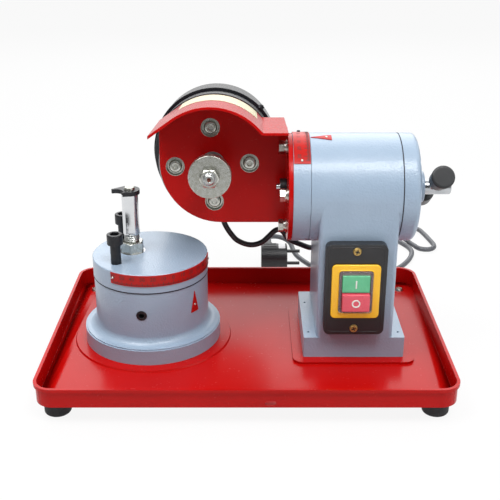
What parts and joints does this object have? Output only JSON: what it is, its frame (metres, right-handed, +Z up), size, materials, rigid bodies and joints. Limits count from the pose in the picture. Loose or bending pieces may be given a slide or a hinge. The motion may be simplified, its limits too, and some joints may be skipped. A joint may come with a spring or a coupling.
{
  "type": "wet grinding sharpener",
  "caption": "Bench sharpener for saw blades: a drip tray carries a swivelling blade table and a column whose sliding, tilting head holds a motor, its spindle and a hood.",
  "frame": {"origin": "on the bench, under the middle of the machine's own extent in plan, its free mains cord, coil and plug left out", "axes": "+Z up, +X towards the feed handle, +Y towards the back of the motor; the tray's long side lies along X"},
  "size_m": [0.5187, 0.5716, 0.3068],
  "materials": {
    "red_paint": "satin",
    "blue_paint": "semi-gloss",
    "scale_red": "gloss",
    "rubber": "matte",
    "steel": "satin",
    "chrome": "polished",
    "black_steel": "satin",
    "aluminium": "cast",
    "brass": "satin",
    "black_plastic": "matte",
    "yellow_plastic": "gloss",
    "clear_boot": "gloss",
    "green_button": "gloss",
    "red_button": "gloss"
  },
  "bodies": {
    "base": {"tray": "red_paint", "tray_corners": "red_paint", "feet": "rubber", "foot_screws": "steel", "mount_bolts": "steel", "pedestal": "blue_paint", "lock_screw": "black_steel", "table_pointer": "scale_red", "column": "blue_paint", "barrel_cap": "blue_paint", "cap_screws": "black_steel", "thrust_plate": "steel", "key_screw": "steel", "barrel_pointer": "scale_red", "switch_plate": "black_plastic", "switch_bezel": "yellow_plastic", "switch_boot": "clear_boot", "switch_block": "black_plastic", "switch_screws": "brass", "cord_glands": "rubber", "mains_cord": "rubber", "mains_coil": "rubber", "plug": "rubber", "column_lead": "rubber"},
    "table": {"swivel_disc": "blue_paint", "table_scale": "scale_red", "clamp_screws": "black_steel", "jam_nut": "steel", "pivot_screw": "steel"},
    "post": {"stop_post": "steel", "pawl_screw": "steel"},
    "pawl": {"pawl": "black_steel"},
    "handle": {"feed_screw": "chrome", "cross_bar": "chrome", "knobs": "black_plastic"},
    "quill": {"quill": "steel", "feed_nut": "brass", "clamp_stud": "steel", "clamp_nut": "black_steel"},
    "head": {"tilt_ring": "blue_paint", "tilt_scale": "scale_red", "head_bracket": "red_paint", "flange_bolts": "steel", "motor_bolts": "steel", "front_bell": "blue_paint", "stator_body": "aluminium", "stator_core": "steel", "windings": "brass", "rear_bell": "aluminium", "clamp_ring": "black_steel", "fan_cowl": "blue_paint", "motor_gland": "rubber", "motor_lead": "rubber", "motor_bearings": "steel"},
    "spindle": {"spindle": "steel", "rotor_core": "steel", "fan": "black_plastic", "wheel_flanges": "steel", "spindle_nut": "steel"},
    "start_button": {"start_button": "green_button"},
    "stop_button": {"stop_button": "red_button"}
  },
  "joints": [
    {"name": "table_swivel", "type": "hinge", "parent": "base", "child": "table", "pos_m": [-0.1145, -0.02119, 0.129], "axis": [0, 0, 1], "range_deg": [-20, 70]},
    {"name": "post_lift", "type": "slide", "parent": "table", "child": "post", "axis": [0, 0, 1], "range_m": [0, 0.01]},
    {"name": "pawl_swivel", "type": "hinge", "parent": "post", "child": "pawl", "pos_m": [-0.1355, -0.01649, 0.201], "axis": [0, 0, 1], "range_deg": [-35, 35]},
    {"name": "handle_turn", "type": "hinge", "parent": "base", "child": "handle", "pos_m": [0.197, -0.02319, 0.2095], "axis": [1, 0, 0], "range_deg": [0, 1350]},
    {"name": "head_feed", "type": "slide", "parent": "base", "child": "quill", "axis": [-1, 0, 0], "range_m": [0, 0.015]},
    {"name": "head_tilt", "type": "hinge", "parent": "quill", "child": "head", "pos_m": [0.048, -0.02319, 0.2095], "axis": [1, 0, 0], "range_deg": [-20, 37]},
    {"name": "spindle_spin", "type": "hinge", "parent": "head", "child": "spindle", "pos_m": [-0.0413, -0.02058, 0.23074], "axis": [0, 0.9925, -0.1219], "continuous": true},
    {"name": "start_push", "type": "slide", "parent": "base", "child": "start_button", "axis": [0, 1, 0], "range_m": [0, 0.003], "stiffness_N_per_m": 900, "springref_m": -0.0015},
    {"name": "stop_push", "type": "slide", "parent": "base", "child": "stop_button", "axis": [0, 1, 0], "range_m": [0, 0.003], "stiffness_N_per_m": 900, "springref_m": -0.0015}
  ],
  "couplings": [
    {"joint": "handle_turn", "follows": "head_feed", "rad_per_m": 1570.8}
  ]
}
